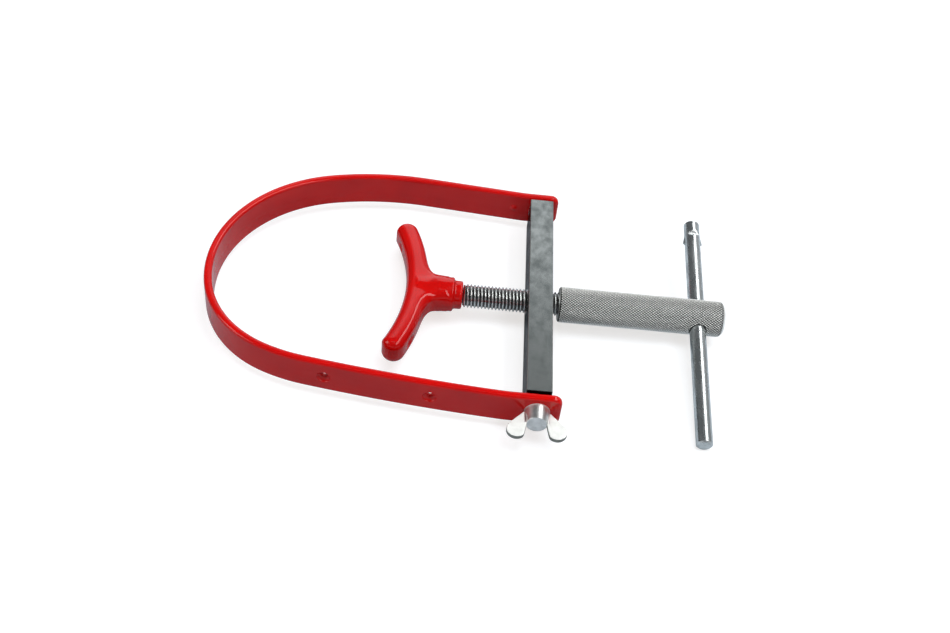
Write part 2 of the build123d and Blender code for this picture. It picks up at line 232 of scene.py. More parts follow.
def placed(tree, group, **values):
    """Places a shader node group in a material with its own values, and returns its outputs."""
    node = tree.nodes.new("ShaderNodeGroup")
    node.node_tree = group
    for label, value in values.items():
        socket = node.inputs[label.replace("_", " ")]
        if isinstance(value, tuple) and len(value) < len(socket.default_value):
            value = (*value, 1)
        socket.default_value = value
    return node.outputs


def patchy_finish():
    """Every finish on the tool: soft patches of two shades, and fine pits or ripples."""
    group, given, result = new_effect(
        "patchy_finish",
        [
            ("Patch scale", "Float"),
            ("Patch detail", "Float"),
            ("Stretch", "Vector"),
            ("Dull colour", "Color"),
            ("Bright colour", "Color"),
            ("Dull roughness", "Float"),
            ("Bright roughness", "Float"),
            ("Pit scale", "Float"),
            ("Pit depth", "Float"),
        ],
        [("Colour", "Color"), ("Roughness", "Float"), ("Normal", "Vector"), ("Patch", "Float")],
    )
    spot = group.nodes.new("ShaderNodeTexCoord")
    mapping = group.nodes.new("ShaderNodeMapping")
    group.links.new(spot.outputs["Object"], mapping.inputs["Vector"])
    group.links.new(given["Stretch"], mapping.inputs["Scale"])
    noises = []
    for scale in ("Patch scale", "Pit scale"):
        noise = group.nodes.new("ShaderNodeTexNoise")
        group.links.new(mapping.outputs[0], noise.inputs["Vector"])
        group.links.new(given[scale], noise.inputs["Scale"])
        noises.append(noise)
    group.links.new(given["Patch detail"], noises[0].inputs["Detail"])
    patch = banded(group, noises[0].outputs["Fac"], 0.32, 0.66)
    bump = group.nodes.new("ShaderNodeBump")
    bump.inputs["Strength"].default_value = 0.5
    group.links.new(noises[1].outputs["Fac"], bump.inputs["Height"])
    group.links.new(given["Pit depth"], bump.inputs["Distance"])
    shade = mixed(group, "RGBA", patch, given["Dull colour"], given["Bright colour"])
    group.links.new(shade, result["Colour"])
    rough = mixed(group, "FLOAT", patch, given["Dull roughness"], given["Bright roughness"])
    group.links.new(rough, result["Roughness"])
    group.links.new(bump.outputs["Normal"], result["Normal"])
    group.links.new(patch, result["Patch"])
    return group


finish = patchy_finish()


def dressed(tree, shader, look, colour=None):
    """Gives a shader the colour, roughness and normal of a placed finish, or a colour of its own."""
    tree.links.new(look["Colour"] if colour is None else colour, shader.inputs["Base Color"])
    tree.links.new(look["Roughness"], shader.inputs["Roughness"])
    tree.links.new(look["Normal"], shader.inputs["Normal"])


def bar_steel():
    material, tree, shader = new_material("bar_steel")
    skin = placed(
        tree,
        finish,
        Patch_scale=230,
        Patch_detail=5.0,
        Stretch=(1, 0.7, 1),
        Dull_colour=(0.19, 0.21, 0.205),
        Bright_colour=(0.37, 0.395, 0.385),
        Dull_roughness=0.26,
        Bright_roughness=0.17,
        Pit_scale=1100,
        Pit_depth=0.006 * MM,
    )
    x, y, z = spot_parts(tree)
    off_face = sum_up(tree, "ABSOLUTE", x)
    off_middle = sum_up(tree, "ABSOLUTE", y)
    half_thick, half_long = 6.0, 66.5
    # Painted highlight: a thin band along each corner chamfer is painted light grey, 0.55.
    on_corner_highlight = banded(tree, off_face, (half_thick - 0.38) * MM, (half_thick - 0.3) * MM)
    # Painted shade: the long sides are painted dark, from 0.12 at the near end to 0.02 towards the far end,
    # and the ends nearly black, 0.006.
    on_side = banded(tree, off_face, (half_thick - 0.07) * MM, (half_thick - 0.01) * MM)
    on_end = banded(tree, off_middle, (half_long - 0.3) * MM, (half_long - 0.15) * MM)
    to_far_end = banded(tree, y, -66.0 * MM, 40.0 * MM)
    painted_side_shade = mixed(tree, "RGBA", to_far_end, (0.12, 0.12, 0.115), (0.02, 0.019, 0.018))
    shade = mixed(tree, "RGBA", on_corner_highlight, skin["Colour"], (0.55, 0.57, 0.56))
    shade = mixed(tree, "RGBA", on_side, shade, painted_side_shade)
    shade = mixed(tree, "RGBA", on_end, shade, (0.006, 0.006, 0.006))
    dressed(tree, shader, skin, shade)
    shader.inputs["Metallic"].default_value = 0.85
    shader.inputs["Specular Tint"].default_value = (0.25, 0.25, 0.25, 1)
    return material


def paint_node(name, material):
    """Gives a CAD node's own object a material in all its slots."""
    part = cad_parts[name]
    if not part.data.materials:
        part.data.materials.append(material)
    for slot in part.material_slots:
        slot.material = material


paint_node("crossbar", bar_steel())


# Strap: a spring steel band bent to a U and dipped in red plastic, which rounds its edges, narrows
# its spare holes to a funnel, and closes the two small holes that it hung by with a bead. The inside
# of each funnel is painted nearly black and metallic, bare steel under painted shade, for the dark opening
# that the photograph shows there.
band_thick, coat, band_width = 2.4, 0.8, 16.2
strap_thick, strap_width = band_thick + 2 * coat, band_width + 2 * coat
near_tab_end, far_tab_end, band_corner, strap_round = 10.3, 8.5, 3.4 + coat, 1.5
near_screw_y, axis_z = -68.5, 10.0
band_bends = [
    (22.312, 0.0),
    (60.0, 3.5),
    (983.0, 5.5),
    (83.0, 14.0),
    (55.8, 54.7),
    (71.0975, 86.5),
    (140.8, 20.5),
    (50.4745, 0.0),
    (60.0, -4.7),
    (14.9, 0.0),
]


def band_place(along):
    """Place and inward direction of the band's middle, a distance along it from its near end."""
    x, y, heading = near_tab_end, near_screw_y, pi
    for index, (size, turn_deg) in enumerate(band_bends):
        last = index == len(band_bends) - 1
        if not turn_deg:
            step = along if last or along < size else size
            x += step * cos(heading)
            y += step * sin(heading)
            if along < size or last:
                break
            along -= size
            continue
        bend = radians(abs(turn_deg))
        side = 1 if turn_deg > 0 else -1
        reach = min(along / size, bend)
        x += side * size * (sin(heading) - sin(heading - side * reach))
        y += side * size * (cos(heading - side * reach) - cos(heading))
        heading -= side * reach
        if along < size * bend:
            break
        along -= size * bend
    return x, y, sin(heading), -cos(heading)


band_length = 0.0
for size, turn_deg in band_bends:
    band_length += size * (radians(abs(turn_deg)) if turn_deg else 1.0)
near_screw_along = near_tab_end
far_screw_along = band_length - far_tab_end
hole_pitch, hole_radius, hole_waist, lip_round = 49.8, 3.1, 1.25, 0.35
painted_shade_from, pinch_from, pinch_run, mouth_from, mouth_pinch = -1.2, -1.7, 1.6, 1.5, 0.8
strap_holes = [near_screw_along + k * hole_pitch for k in range(3)] + [far_screw_along]
hang_offset, bead_radius, bead_rise = 14.36, 2.6, 0.6
bead_spots = [near_screw_along + hang_offset, far_screw_along - hang_offset]


def join_rings(shape, rings):
    """Faces between each ring of points and the next."""
    for first, second in zip(rings, rings[1:]):
        for k, start in enumerate(first):
            after = (k + 1) % len(first)
            shape.faces.new((start, first[after], second[after], second[k]))


def finished(name, body, mesh_or_bmesh, material, smooth_angle=None):
    """Links a mesh as a piece at the origin, smooth shaded, and rides it on its body."""
    if isinstance(mesh_or_bmesh, bmesh.types.BMesh):
        mesh = bpy.data.meshes.new(name)
        mesh_or_bmesh.to_mesh(mesh)
        mesh_or_bmesh.free()
    else:
        mesh = mesh_or_bmesh
    mesh.name = name
    mesh.materials.clear()
    mesh.materials.append(material)
    mesh.polygons.foreach_set("use_smooth", [True] * len(mesh.polygons))
    if smooth_angle is not None:
        mesh.set_sharp_from_angle(angle=radians(smooth_angle))
    piece = bpy.data.objects.new(name, mesh)
    scene.collection.objects.link(piece)
    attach(piece, body)
    return piece


def slice_through(shape, place, normal, within):
    """Adds edges where a plane goes through the shape."""
    everything = shape.verts[:] + shape.edges[:] + shape.faces[:]
    bmesh.ops.bisect_plane(shape, geom=everything, plane_co=place, plane_no=normal, dist=within)


def flat_strap():
    """The coated strap before it is bent: x along it, y through its thickness and z across it."""
    flat = bmesh.new()
    half = strap_width / 2 - band_corner
    outline = []
    ends = ((band_length + coat - band_corner, -1), (band_corner - coat, 1))
    for middle, way in ends:
        start = -pi / 2 if way < 0 else pi / 2
        for corner in (0, 1):
            z = half * (1 if (corner == 1) == (way < 0) else -1)
            for step in range(9):
                turn_by = start + pi / 2 * (corner + step / 8)
                outline.append((middle + band_corner * cos(turn_by), z + band_corner * sin(turn_by)))
    edges = []
    rings = [outline]
    for along in strap_holes:
        ring = [2 * pi * k / 40 for k in range(40)]
        rings.append([(along + hole_radius * cos(a), hole_radius * sin(a)) for a in ring])
    for ring in rings:
        corners = [flat.verts.new((x, -strap_thick / 2, z)) for x, z in ring]
        for a, b in zip(corners, corners[1:] + corners[:1]):
            edges.append(flat.edges.new((a, b)))
    bmesh.ops.triangle_fill(flat, use_beauty=True, edges=edges)
    base = flat.faces[:]
    grown = bmesh.ops.extrude_face_region(flat, geom=base)["geom"]
    lifted = [g for g in grown if isinstance(g, bmesh.types.BMVert)]
    bmesh.ops.translate(flat, verts=lifted, vec=(0, strap_thick, 0))
    bmesh.ops.recalc_face_normals(flat, faces=flat.faces)
    rims = [e for e in flat.edges if len(e.link_faces) == 2 and e.calc_face_angle() > 1.2]
    lips, outer = [], []
    for edge in rims:
        spot = edge.verts[0].co
        at_hole = any(hypot(spot.x - along, spot.z) < hole_radius + 0.9 for along in strap_holes)
        (lips if at_hole else outer).append(edge)
    bmesh.ops.bevel(flat, geom=outer, offset=strap_round, segments=6, profile=0.5, affect="EDGES")
    lips = [e for e in lips if e.is_valid]
    bmesh.ops.bevel(flat, geom=lips, offset=lip_round, segments=3, profile=0.5, affect="EDGES")
    for level in (-1.4, -1.1, -0.8, -0.5, -0.2, 0.8):
        slice_through(flat, (0, level, 0), (0, 1, 0), 1e-5)
    for along in strap_holes[1:3]:
        for face in flat.faces:
            middle = face.calc_center_median()
            # The inner part of each spare hole's funnel takes the second, nearly black material: painted
            # shade.
            if hypot(middle.x - along, middle.z) < hole_radius + 0.05 and middle.y > painted_shade_from:
                face.material_index = 1
        for vert in flat.verts:
            reach = hypot(vert.co.x - along, vert.co.z)
            if reach < hole_radius + 0.6:
                pinch = min(1.0, max(0.0, (vert.co.y - pinch_from) / pinch_run))
                pinch = pinch * pinch * (3 - 2 * pinch) * (mouth_pinch if vert.co.y > mouth_from else 1.0)
                squeeze = 1 - (1 - hole_waist / hole_radius) * pinch
                vert.co.x = along + (vert.co.x - along) * squeeze
                vert.co.z *= squeeze
    return flat


def bend_strap(flat):
    """Lays the flat strap along the band's middle line."""
    for vert in flat.verts:
        x, y, in_x, in_y = band_place(vert.co.x)
        vert.co = Vector((x + in_x * vert.co.y, y + in_y * vert.co.y, axis_z + vert.co.z)) * MM


def bead(flat, along):
    """A low bead of plastic on the strap's inner face, whose skirt runs out into the face."""
    rings = []
    for ring in range(13):
        reach = ring / 12
        rise = bead_rise * (0.5 + 0.5 * cos(pi * reach)) * (1 - 0.25 * (1 - reach) ** 2)
        row = []
        for k in range(36):
            a = 2 * pi * k / 36
            x, z = along + bead_radius * reach * cos(a), bead_radius * reach * sin(a)
            row.append(flat.verts.new((x, strap_thick / 2 + rise - 0.02, z)))
        rings.append(row)
    join_rings(flat, rings)


def red_coat(name, shade, ripple):
    """Glossy dipped plastic: slow changes in its red, and a faint ripple of its own depth."""
    material, tree, shader = new_material(name)
    coat_look = placed(
        tree,
        finish,
        Patch_scale=45,
        Patch_detail=2.0,
        Stretch=(1, 1, 1),
        Dull_colour=(0.87 * shade, 0.001, 0.001),
        Bright_colour=(shade, 0.002, 0.001),
        Dull_roughness=0.14,
        Bright_roughness=0.07,
        Pit_scale=220,
        Pit_depth=ripple * MM,
    )
    dressed(tree, shader, coat_look)
    shader.inputs["IOR"].default_value = 1.45
    shader.inputs["Specular IOR Level"].default_value = 0.45
    return material


strap = flat_strap()
slice_every = 3.0
for cut in range(1, int((band_length + 2 * coat) / slice_every) + 1):
    slice_through(strap, (cut * slice_every - coat, 0, 0), (1, 0, 0), 1e-4)
for along in bead_spots:
    bead(strap, along)
bend_strap(strap)
strap_piece = finished("dipped_strap", "strap", strap, red_coat("strap_red", 0.61, 0.012))
# Nearly black metallic finish for the inside of the funnels: bare steel under painted shade.
bare_edge_painted_shade, bare_edge_shade_tree, bare_edge_shade_shader = new_material("bare_hole_edge_painted_shade")
bare_edge_shade_look = placed(
    bare_edge_shade_tree,
    finish,
    Patch_scale=2500,
    Patch_detail=2.0,
    Stretch=(1, 1, 1),
    Dull_colour=(0.008, 0.005, 0.005),
    Bright_colour=(0.05, 0.03, 0.03),
    Dull_roughness=0.5,
    Bright_roughness=0.3,
    Pit_scale=2500,
    Pit_depth=0.02 * MM,
)
dressed(bare_edge_shade_tree, bare_edge_shade_shader, bare_edge_shade_look)
bare_edge_shade_shader.inputs["Metallic"].default_value = 0.8
strap_piece.data.materials.append(bare_edge_painted_shade)
steady = strap_piece.modifiers.new("steady", "WEIGHTED_NORMAL")
steady.keep_sharp = False
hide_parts("strap_coating")
# The hidden core takes the crossbar's finish, with its painted shade on sides and ends.
paint_node("strap_core", bar_steel())


# Pivot at the far end: a plain steel washer and a round-headed screw with a hexagon socket, both
# bright zinc plated. The strap hangs on the screw and swings between the head and the washer.
def plated_steel(name, shade=(0.72, 0.74, 0.74), rough=(0.2, 0.34), grain=(1, 1, 1)):
    """Bright zinc on smooth steel, with a grain along the piece where it was drawn."""
    material, tree, shader = new_material(name)
    plate = placed(
        tree,
        finish,
        Patch_scale=300,
        Patch_detail=4.0,
        Stretch=grain,
        Dull_colour=tuple(0.72 * c for c in shade),
        Bright_colour=shade,
        Dull_roughness=rough[1],
        Bright_roughness=rough[0],
        Pit_scale=1500,
        Pit_depth=0.012 * MM,
    )
    dressed(tree, shader, plate)
    shader.inputs["Metallic"].default_value = 1.0
    return material


pivot_steel = plated_steel("pivot_plate")
paint_node("pivot_washer", pivot_steel)
paint_node("pivot_screw", pivot_steel)


# Wing screw: a malleable casting, bright zinc plated, with a turned hub and two rounded wings that
# run out of it in soft fillets. Its threaded shank goes through the strap into the crossbar's end.
def new_tree(name, sizes):
    """A geometry tree with named size inputs, and the sockets of those inputs by name."""
    tree = bpy.data.node_groups.new(name, "GeometryNodeTree")
    tree.interface.new_socket("Geometry", in_out="INPUT", socket_type="NodeSocketGeometry")
    for label, value in sizes.items():
        socket = tree.interface.new_socket(label, in_out="INPUT", socket_type="NodeSocketFloat")
        socket.default_value = value
    tree.interface.new_socket("Geometry", in_out="OUTPUT", socket_type="NodeSocketGeometry")
    entry = tree.nodes.new("NodeGroupInput")
    return tree, {label: entry.outputs[label] for label in sizes}


def reach_of(tree, a, b):
    """Length of the vector (a, b)."""
    squares = sum_up(tree, "ADD", sum_up(tree, "MULTIPLY", a, a), sum_up(tree, "MULTIPLY", b, b))
    return sum_up(tree, "SQRT", squares)


def place_parts(tree):
    """The three coordinates of a point of the mesh that the tree works on."""
    position = tree.nodes.new("GeometryNodeInputPosition")
    parts = tree.nodes.new("ShaderNodeSeparateXYZ")
    tree.links.new(position.outputs[0], parts.inputs[0])
    return parts.outputs


def spot_in_mm(tree, middle):
    """Position in millimetres from a middle point, as three sockets."""
    spots = []
    for part, start in zip(place_parts(tree), middle):
        spots.append(sum_up(tree, "SUBTRACT", sum_up(tree, "DIVIDE", part, MM), start))
    return spots


def rounded_slab(tree, flat_distance, height, half_height, rounding):
    """Distance to a slab whose rims are rounded, from the distance to its outline and a height."""
    side = sum_up(tree, "ADD", flat_distance, rounding)
    up = sum_up(tree, "SUBTRACT", sum_up(tree, "ABSOLUTE", height), half_height)
    up = sum_up(tree, "ADD", up, rounding)
    outside = reach_of(tree, sum_up(tree, "MAXIMUM", side, 0.0), sum_up(tree, "MAXIMUM", up, 0.0))
    inside = sum_up(tree, "MINIMUM", sum_up(tree, "MAXIMUM", side, up), 0.0)
    return sum_up(tree, "SUBTRACT", sum_up(tree, "ADD", outside, inside), rounding)


def cast_shape(name, tree, distance, low, high, voxel, material):
    """Meshes the surface where a distance field, in millimetres, is zero."""
    cube = tree.nodes.new("GeometryNodeVolumeCube")
    level = 2.0
    tree.links.new(sum_up(tree, "SUBTRACT", level, distance), cube.inputs["Density"])
    cube.inputs["Min"].default_value = [v * MM for v in low]
    cube.inputs["Max"].default_value = [v * MM for v in high]
    for axis, start, end in zip("XYZ", low, high):
        cube.inputs["Resolution " + axis].default_value = int((end - start) / voxel) + 1
    skin = tree.nodes.new("GeometryNodeVolumeToMesh")
    skin.inputs["Threshold"].default_value = level
    tree.links.new(cube.outputs[0], skin.inputs["Volume"])
    settle = skin.outputs[0]
    for _ in range(2):
        normal = tree.nodes.new("GeometryNodeInputNormal")
        nudge = tree.nodes.new("ShaderNodeVectorMath")
        nudge.operation = "SCALE"
        tree.links.new(normal.outputs[0], nudge.inputs[0])
        tree.links.new(sum_up(tree, "MULTIPLY", distance, -MM), nudge.inputs["Scale"])
        mover = tree.nodes.new("GeometryNodeSetPosition")
        tree.links.new(settle, mover.inputs["Geometry"])
        tree.links.new(nudge.outputs[0], mover.inputs["Offset"])
        settle = mover.outputs[0]
    return made_by_tree(name, tree, settle, material)


def made_by_tree(name, tree, geometry, material):
    """Ends a tree in Realize Instances and Set Material, and returns its result as a plain mesh."""
    realize = tree.nodes.new("GeometryNodeRealizeInstances")
    coat_it = tree.nodes.new("GeometryNodeSetMaterial")
    coat_it.inputs["Material"].default_value = material
    end = tree.nodes.new("NodeGroupOutput")
    tree.links.new(geometry, realize.inputs[0])
    tree.links.new(realize.outputs[0], coat_it.inputs["Geometry"])
    tree.links.new(coat_it.outputs[0], end.inputs[0])
    carrier = bpy.data.objects.new(name + "_carrier", bpy.data.meshes.new(name + "_carrier"))
    scene.collection.objects.link(carrier)
    maker = carrier.modifiers.new("maker", "NODES")
    maker.node_group = tree
    view = bpy.context.evaluated_depsgraph_get()
    mesh = bpy.data.meshes.new_from_object(carrier.evaluated_get(view))
    carrier.modifiers.remove(maker)
    bpy.data.objects.remove(carrier)
    return mesh


hub_seat_y, hub_base_radius, hub_end_radius, hub_height = -70.5, 6.1, 4.9, 7.6
wing_tip_x, wing_tip_radius, wing_rise, wing_half_thick = 9.3, 4.6, 16.1, 1.2
shank_radius, shank_length, shank_overlap, hub_round, wing_round = 3.0, 18.0, 1.0, 0.35, 0.3
wing_tree, wing_size = new_tree("wing_shape", {"Wing thickness": 2 * wing_half_thick, "Fillet": 0.45})
wing_sum = partial(sum_up, wing_tree)
wx, wy, wz = spot_in_mm(wing_tree, (0.0, hub_seat_y, axis_z))
down = wing_sum("MULTIPLY", wy, -1.0)
round_reach = reach_of(wing_tree, wx, wz)
hub_taper = (hub_base_radius - hub_end_radius) / hub_height
hub_wall = wing_sum(
    "SUBTRACT", wing_sum("ADD", round_reach, wing_sum("MULTIPLY", down, hub_taper)), hub_base_radius
)
hub_ends = wing_sum(
    "SUBTRACT", wing_sum("ABSOLUTE", wing_sum("SUBTRACT", down, hub_height / 2)), hub_height / 2
)
hub = wing_sum("SMOOTH_MAX", hub_wall, hub_ends, hub_round)
shank_wall = wing_sum("SUBTRACT", round_reach, shank_radius)
shank_ends = wing_sum(
    "SUBTRACT",
    wing_sum("ABSOLUTE", wing_sum("ADD", down, shank_length / 2 - shank_overlap)),
    shank_length / 2 + shank_overlap - 0.02,
)
shank = wing_sum("MAXIMUM", shank_wall, shank_ends)
side_x = wing_sum("ABSOLUTE", wx)
root_x, root_y, root_radius, tip_y = 4.4, 4.2, 3.2, wing_rise - wing_tip_radius
notch_from, notch_side, notch_down, notch_round = 4.5, -0.983, 0.184, 1.0
run_x, run_y = wing_tip_x - root_x, tip_y - root_y
from_x = wing_sum("SUBTRACT", side_x, root_x)
from_y = wing_sum("SUBTRACT", down, root_y)
along_wing = wing_sum(
    "DIVIDE",
    wing_sum("ADD", wing_sum("MULTIPLY", from_x, run_x), wing_sum("MULTIPLY", from_y, run_y)),
    run_x * run_x + run_y * run_y,
)
along_wing = wing_sum("MINIMUM", wing_sum("MAXIMUM", along_wing, 0.0), 1.0)
off_x = wing_sum("SUBTRACT", from_x, wing_sum("MULTIPLY", along_wing, run_x))
off_y = wing_sum("SUBTRACT", from_y, wing_sum("MULTIPLY", along_wing, run_y))
paddle_radius = wing_sum("MULTIPLY_ADD", along_wing, wing_tip_radius - root_radius, root_radius)
paddle = wing_sum("SUBTRACT", reach_of(wing_tree, off_x, off_y), paddle_radius)
notch_x = wing_sum("MULTIPLY", wing_sum("SUBTRACT", side_x, notch_from), notch_side)
notch_y = wing_sum("MULTIPLY", wing_sum("SUBTRACT", down, hub_height), notch_down)
paddle = wing_sum("SMOOTH_MAX", paddle, wing_sum("ADD", notch_x, notch_y), notch_round)
half_wing = wing_sum("MULTIPLY", wing_size["Wing thickness"], 0.5)
wings = rounded_slab(wing_tree, paddle, wz, half_wing, wing_round)
casting = wing_sum("SMOOTH_MIN", hub, wings, wing_size["Fillet"])
casting = wing_sum("MAXIMUM", casting, wing_sum("MULTIPLY", down, -1.0))
casting = wing_sum("MINIMUM", casting, shank)


def depth_round_axle():
    """How far a point is between two radii round an axle line: 0 at the low one, 1 at the high one."""
    group, given, result = new_effect(
        "depth_round_axle",
        [("Across", "Vector"), ("Axle height", "Float"), ("Low radius", "Float"), ("High radius", "Float")],
        [("Depth", "Float")],
    )
    x, y, z = spot_parts(group)
    centred = group.nodes.new("ShaderNodeCombineXYZ")
    group.links.new(x, centred.inputs[0])
    group.links.new(y, centred.inputs[1])
    group.links.new(sum_up(group, "SUBTRACT", z, given["Axle height"]), centred.inputs[2])
    flat = group.nodes.new("ShaderNodeVectorMath")
    flat.operation = "MULTIPLY"
    group.links.new(centred.outputs[0], flat.inputs[0])
    group.links.new(given["Across"], flat.inputs[1])
    length = group.nodes.new("ShaderNodeVectorMath")
    length.operation = "LENGTH"
    group.links.new(flat.outputs[0], length.inputs[0])
    band = group.nodes.new("ShaderNodeMapRange")
    group.links.new(length.outputs["Value"], band.inputs["Value"])
    group.links.new(given["Low radius"], band.inputs["From Min"])
    group.links.new(given["High radius"], band.inputs["From Max"])
    group.links.new(band.outputs[0], result["Depth"])
    return group


round_axle = depth_round_axle()


def casting_plate():
    """Zinc on the casting, turned bright on the hub. After the photograph, the wings are pale, matt
    and hardly metallic, and their rims are painted dark as painted shade."""
    material, tree, shader = new_material("cast_plate")
    looks = []
    for dull, bright, rough in (
        ((0.68, 0.69, 0.68), (0.86, 0.87, 0.86), 0.32),
        ((0.77, 0.79, 0.76), (0.87, 0.89, 0.86), 0.4),
    ):
        looks.append(
            placed(
                tree,
                finish,
                Patch_scale=400,
                Patch_detail=3.0,
                Stretch=(1, 1, 1),
                Dull_colour=dull,
                Bright_colour=bright,
                Dull_roughness=rough + 0.06,
                Bright_roughness=rough,
                Pit_scale=1500,
                Pit_depth=0.01 * MM,
            )
        )
    turned, matt = looks
    beside = placed(
        tree,
        round_axle,
        Across=(1, 0, 1),
        Axle_height=axis_z * MM,
        Low_radius=(hub_base_radius - 0.2) * MM,
        High_radius=(hub_base_radius + 0.1) * MM,
    )["Depth"]
    x, y, z = spot_parts(tree)
    hub_end_y = hub_seat_y - hub_height
    beyond = banded(tree, y, (hub_end_y - 0.1) * MM, (hub_end_y - 0.3) * MM)
    on_wing = sum_up(tree, "MAXIMUM", beside, beyond)
    off_face = sum_up(tree, "ABSOLUTE", sum_up(tree, "SUBTRACT", z, axis_z * MM))
    on_shaded_rim = banded(tree, off_face, (wing_half_thick - 0.1) * MM, (wing_half_thick - 0.35) * MM)
    # Painted shade: the wings' rims are painted dark grey.
    wing = mixed(tree, "RGBA", on_shaded_rim, matt["Colour"], (0.2, 0.21, 0.19))
    dressed(tree, shader, matt, mixed(tree, "RGBA", on_wing, turned["Colour"], wing))
    rough = mixed(tree, "FLOAT", on_wing, turned["Roughness"], matt["Roughness"])
    tree.links.new(rough, shader.inputs["Roughness"])
    tree.links.new(mixed(tree, "FLOAT", on_wing, 1.0, 0.15), shader.inputs["Metallic"])
    return material


cast_plate = casting_plate()
wing_mesh = cast_shape(
    "wing_screw", wing_tree, casting, (-14.6, -87.2, 3.4), (14.6, -51.9, 16.6), 0.25, cast_plate
)
wing_piece = finished("wing_casting", "wing", wing_mesh, cast_plate, 50)
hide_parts("wing_screw")


# Claw: a cast iron shoe with a curved saddle, a boss and a collar, dipped in the same red plastic,
# which fills every corner to a soft round. It turns on a thrust ball, held by two cross pins.
def domed(tree, flat_distance, height, half_width, rise):
    """A height that grows towards an outline, so that the slab made with it has a domed face."""
    inwards = sum_up(tree, "ADD", sum_up(tree, "DIVIDE", flat_distance, half_width), 1.0)
    inwards = sum_up(tree, "MINIMUM", sum_up(tree, "MAXIMUM", inwards, 0.0), 1.0)
    fall = sum_up(tree, "MULTIPLY", sum_up(tree, "MULTIPLY", inwards, inwards), rise)
    return sum_up(tree, "ADD", sum_up(tree, "ABSOLUTE", height), fall)


saddle_x, saddle_radius, shoe_thick, shoe_height, shoe_length = -66.5, 99.6, 10.8, 13.6, 92.4
collar_x, boss_x, boss_radius, collar_radius = -38.2, -42.6, 8.6, 7.0
boss_slope_x, boss_foot_radius, shoe_round, claw_turn, arm_swell = -50.0, 5.0, 2.9, -2.0, 0.006
oval_offset, oval_half_length, oval_half_width, oval_dip = 34.0, 5.4, 3.2, 1.0
nose_bore, bore_tip_x, root_half_width, root_end_x = 4.05, -60.1, 6.9, -45.6
boss_waist_x, boss_waist_half, boss_waist_depth = -47.2, 4.4, 0.35
boss_round, collar_round, boss_fillet = 1.6, 1.8, 4.0
claw_tree, claw_size = new_tree(
    "claw_shape", {"Shoe height": shoe_height, "Root fillet": 18.0, "Dome": 1.1, "Draft": 0.06}
)
claw_sum = partial(sum_up, claw_tree)
cx, raw_y, raw_z = spot_in_mm(claw_tree, (0.0, 0.0, axis_z))
lean_cos, lean_sin = cos(radians(claw_turn)), sin(radians(claw_turn))
cy = claw_sum("ADD", claw_sum("MULTIPLY", raw_y, lean_cos), claw_sum("MULTIPLY", raw_z, lean_sin))
cz = claw_sum("SUBTRACT", claw_sum("MULTIPLY", raw_z, lean_cos), claw_sum("MULTIPLY", raw_y, lean_sin))
shoe_mid = saddle_radius + shoe_thick / 2
centre_x = saddle_x - saddle_radius
shoe_half_turn = (shoe_length - shoe_thick) / 2 / shoe_mid
out_x = claw_sum("SUBTRACT", cx, centre_x)
swing = claw_sum("ARCTAN2", cy, out_x)
held = claw_sum("MAXIMUM", claw_sum("MINIMUM", swing, shoe_half_turn), -shoe_half_turn)
near_x = claw_sum("MULTIPLY", claw_sum("COSINE", held), shoe_mid)
near_y = claw_sum("MULTIPLY", claw_sum("SINE", held), shoe_mid)
bar_reach = reach_of(claw_tree, claw_sum("SUBTRACT", out_x, near_x), claw_sum("SUBTRACT", cy, near_y))
along_arm = claw_sum("MULTIPLY", claw_sum("ABSOLUTE", swing), shoe_mid)
oval_s = claw_sum("DIVIDE", claw_sum("SUBTRACT", along_arm, oval_offset), oval_half_length)
oval_z = claw_sum("DIVIDE", cz, oval_half_width)
oval_in = claw_sum("SUBTRACT", 1.0, reach_of(claw_tree, oval_s, oval_z))
oval_step = claw_tree.nodes.new("ShaderNodeMapRange")
oval_step.interpolation_type = "SMOOTHSTEP"
oval_step.inputs["From Max"].default_value = 0.8
oval_step.inputs["To Max"].default_value = oval_dip
claw_tree.links.new(oval_in, oval_step.inputs["Value"])
half_thick = claw_sum("MULTIPLY_ADD", along_arm, arm_swell, shoe_thick / 2)
bar_skin = claw_sum("ADD", claw_sum("SUBTRACT", bar_reach, half_thick), oval_step.outputs[0])
root_side = claw_sum("SUBTRACT", claw_sum("ABSOLUTE", cy), root_half_width)
root_back = claw_sum("SUBTRACT", saddle_x + shoe_thick, cx)
root_front = claw_sum("SUBTRACT", cx, root_end_x)
root_caps = claw_sum("MAXIMUM", root_back, root_front)
root = claw_sum("MAXIMUM", root_side, root_caps)
plan = claw_sum("SMOOTH_MIN", bar_skin, root, claw_size["Root fillet"])
drafted = claw_sum("MULTIPLY_ADD", claw_sum("ABSOLUTE", cz), claw_size["Draft"], saddle_radius)
saddle_wall = claw_sum("SUBTRACT", drafted, reach_of(claw_tree, out_x, cy))
plan = claw_sum("MAXIMUM", plan, saddle_wall)
half_shoe = claw_sum("MULTIPLY", claw_size["Shoe height"], 0.5)
bulge = domed(claw_tree, plan, cz, shoe_thick / 2, claw_size["Dome"])
shoe = rounded_slab(claw_tree, plan, bulge, half_shoe, shoe_round)
axle_reach = reach_of(claw_tree, cy, cz)
slope = (boss_radius - boss_foot_radius) / (boss_slope_x - saddle_x - shoe_thick / 2)
cone_radius = claw_sum(
    "MINIMUM",
    claw_sum("MULTIPLY_ADD", claw_sum("SUBTRACT", cx, boss_slope_x), slope, boss_radius),
    boss_radius,
)
waist_in = claw_sum("DIVIDE", claw_sum("SUBTRACT", cx, boss_waist_x), boss_waist_half)
waist = claw_sum("SUBTRACT", 1.0, claw_sum("MULTIPLY", waist_in, waist_in))
waist = claw_sum("MULTIPLY", claw_sum("MAXIMUM", waist, 0.0), boss_waist_depth)
boss_wall = claw_sum("ADD", claw_sum("SUBTRACT", axle_reach, cone_radius), waist)
boss_back = claw_sum("SUBTRACT", saddle_x + shoe_thick / 2, cx)
